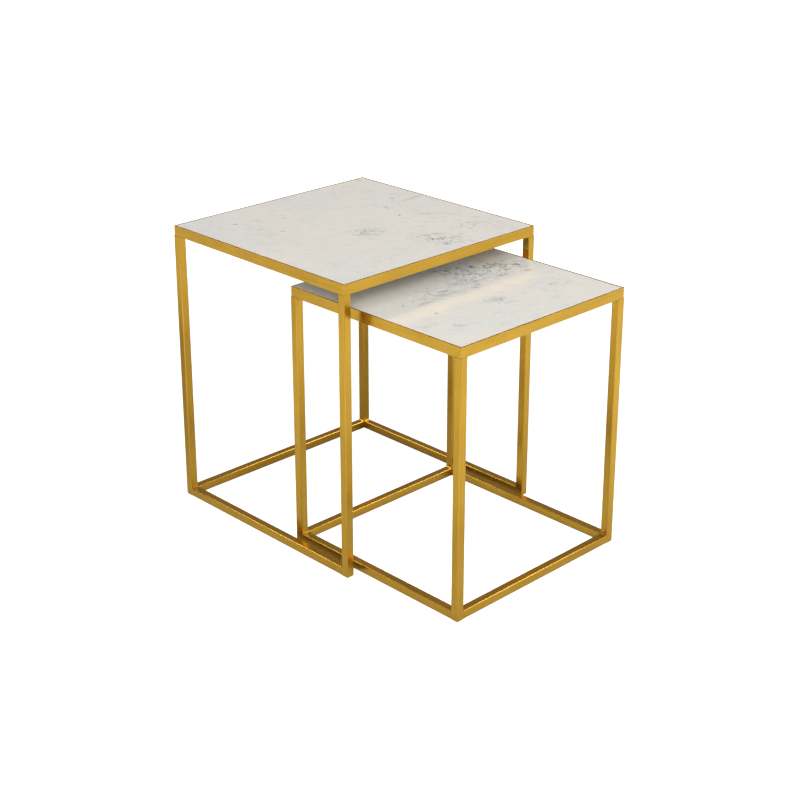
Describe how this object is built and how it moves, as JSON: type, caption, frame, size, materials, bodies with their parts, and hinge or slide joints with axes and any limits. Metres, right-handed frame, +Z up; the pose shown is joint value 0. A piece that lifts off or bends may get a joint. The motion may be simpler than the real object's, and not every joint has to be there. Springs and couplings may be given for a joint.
{
  "type": "nesting tables",
  "caption": "Nesting side tables: open square-tube cube frames in satin gold with inset marble tops; the lower one slides in under the taller one.",
  "frame": {"origin": "on the floor, in the middle of the pair's footprint as it stands with the smaller table pulled out", "axes": "+Z up, -Y to the front where the smaller table comes out, +X to the right as seen from the front"},
  "size_m": [0.45, 0.665, 0.52],
  "materials": {
    "gold_steel": "satin gold lacquer over ground and welded steel, fine brush lines along each bar",
    "marble": "polished white marble with soft grey flecks and short veins",
    "silicone_pad": "clear silicone",
    "foot_glide": "moulded nylon"
  },
  "bodies": {
    "large_table": {"large_front_left_leg": "gold_steel", "large_front_right_leg": "gold_steel", "large_back_left_leg": "gold_steel", "large_back_right_leg": "gold_steel", "large_front_top_rail": "gold_steel", "large_back_top_rail": "gold_steel", "large_left_top_rail": "gold_steel", "large_right_top_rail": "gold_steel", "large_left_base_rail": "gold_steel", "large_right_base_rail": "gold_steel", "large_back_base_rail": "gold_steel", "large_frame_welds": "gold_steel", "large_foot_caps": "gold_steel", "large_foot_glides": "foot_glide", "large_stone_pads": "silicone_pad", "large_marble_top": "marble"},
    "small_table": {"small_front_left_leg": "gold_steel", "small_front_right_leg": "gold_steel", "small_back_left_leg": "gold_steel", "small_back_right_leg": "gold_steel", "small_front_top_rail": "gold_steel", "small_back_top_rail": "gold_steel", "small_left_top_rail": "gold_steel", "small_right_top_rail": "gold_steel", "small_left_base_rail": "gold_steel", "small_right_base_rail": "gold_steel", "small_front_base_rail": "gold_steel", "small_back_base_rail": "gold_steel", "small_frame_welds": "gold_steel", "small_foot_caps": "gold_steel", "small_foot_glides": "foot_glide", "small_stone_pads": "silicone_pad", "small_marble_top": "marble"}
  },
  "joints": [
    {"name": "small_table_slide", "type": "slide", "parent": "large_table", "child": "small_table", "axis": [0, -1, 0], "range_m": [-0.258, 0.2]}
  ]
}
